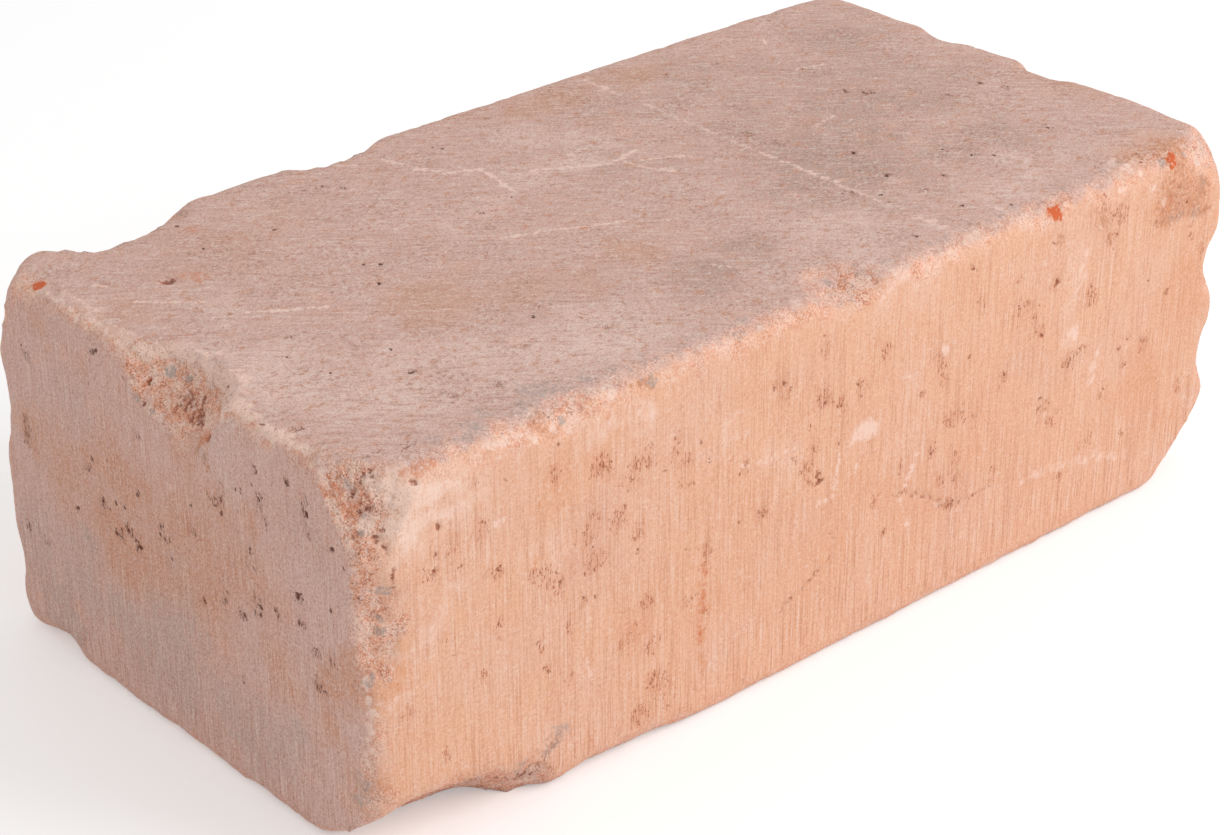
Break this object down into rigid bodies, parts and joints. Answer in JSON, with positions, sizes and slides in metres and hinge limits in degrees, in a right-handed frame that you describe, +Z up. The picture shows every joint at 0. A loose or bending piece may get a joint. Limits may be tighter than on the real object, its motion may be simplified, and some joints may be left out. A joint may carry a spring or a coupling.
{
  "type": "garden wall block",
  "caption": "Solid oblong concrete garden wall block with tumbled, chipped arrises and knocked-off corners, laid flat in courses to build a low wall.",
  "frame": {"origin": "centre of the block's plan, on its lower bed", "axes": "+X along the length, +Y from the front face to the back face, +Z up from the lower bed to the upper bed"},
  "size_m": [0.29, 0.15, 0.1],
  "materials": {
    "concrete": "matt dry-pressed concrete, coloured through in salmon pink, tumbled so that its worn arrises show the grains"
  },
  "bodies": {
    "root": {"wall_block": "concrete"}
  },
  "joints": []
}
